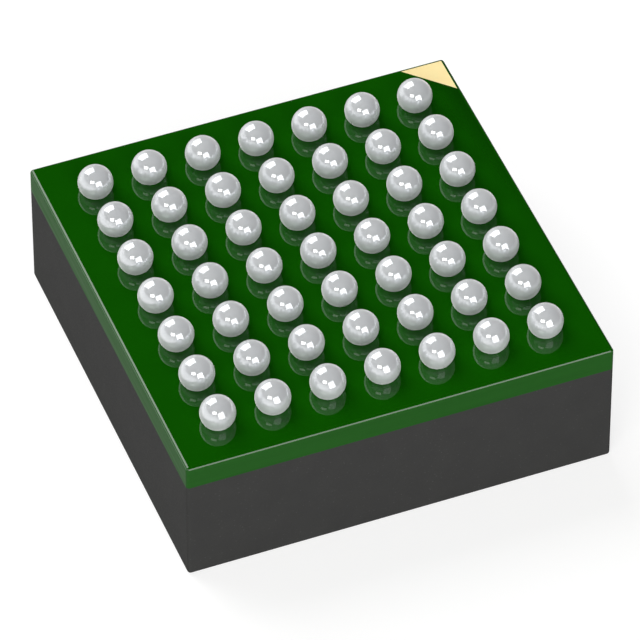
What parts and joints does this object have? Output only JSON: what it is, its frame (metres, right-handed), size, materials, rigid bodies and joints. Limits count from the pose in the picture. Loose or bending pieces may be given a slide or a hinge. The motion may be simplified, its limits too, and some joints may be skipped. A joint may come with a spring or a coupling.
{
  "type": "ball grid array chip",
  "caption": "Square moulded chip lying on its back: black cap, green laminate substrate with a grid of solder balls and a gold corner mark, and a wire bonded die inside.",
  "frame": {"origin": "centre of the mould cap's flat outer face, on which the chip lies", "axes": "+Z out of the ball side; rows of balls run along X, row A at +Y, column 1 at +X, so ball A1 and the gold corner mark are at +X +Y"},
  "size_m": [0.0062, 0.0062, 0.0025],
  "materials": {
    "mould_compound": "fine matt, dark grey, with tiny pale filler specks",
    "green_laminate": "glossy deep green solder mask",
    "solder": "bright reflowed solder, smooth and slightly milky",
    "gold_plate": "flat pale gold plating",
    "gold_wire": "drawn gold wire",
    "copper": "plated copper",
    "silicon": "polished silicon",
    "die_adhesive": "silver filled epoxy"
  },
  "bodies": {
    "root": {"mould_cap": "mould_compound", "substrate": "green_laminate", "pin_one_mark": "gold_plate", "die": "silicon", "die_adhesive": "die_adhesive", "die_flag": "copper", "bond_fingers": "gold_plate", "bond_wires": "gold_wire", "ball_a1": "solder", "ball_a2": "solder", "ball_a3": "solder", "ball_a4": "solder", "ball_a5": "solder", "ball_a6": "solder", "ball_a7": "solder", "ball_b1": "solder", "ball_b2": "solder", "ball_b3": "solder", "ball_b4": "solder", "ball_b5": "solder", "ball_b6": "solder", "ball_b7": "solder", "ball_c1": "solder", "ball_c2": "solder", "ball_c3": "solder", "ball_c4": "solder", "ball_c5": "solder", "ball_c6": "solder", "ball_c7": "solder", "ball_d1": "solder", "ball_d2": "solder", "ball_d3": "solder", "ball_d4": "solder", "ball_d5": "solder", "ball_d6": "solder", "ball_d7": "solder", "ball_e1": "solder", "ball_e2": "solder", "ball_e3": "solder", "ball_e4": "solder", "ball_e5": "solder", "ball_e6": "solder", "ball_e7": "solder", "ball_f1": "solder", "ball_f2": "solder", "ball_f3": "solder", "ball_f4": "solder", "ball_f5": "solder", "ball_f6": "solder", "ball_f7": "solder", "ball_g1": "solder", "ball_g2": "solder", "ball_g3": "solder", "ball_g4": "solder", "ball_g5": "solder", "ball_g6": "solder", "ball_g7": "solder"}
  },
  "joints": []
}
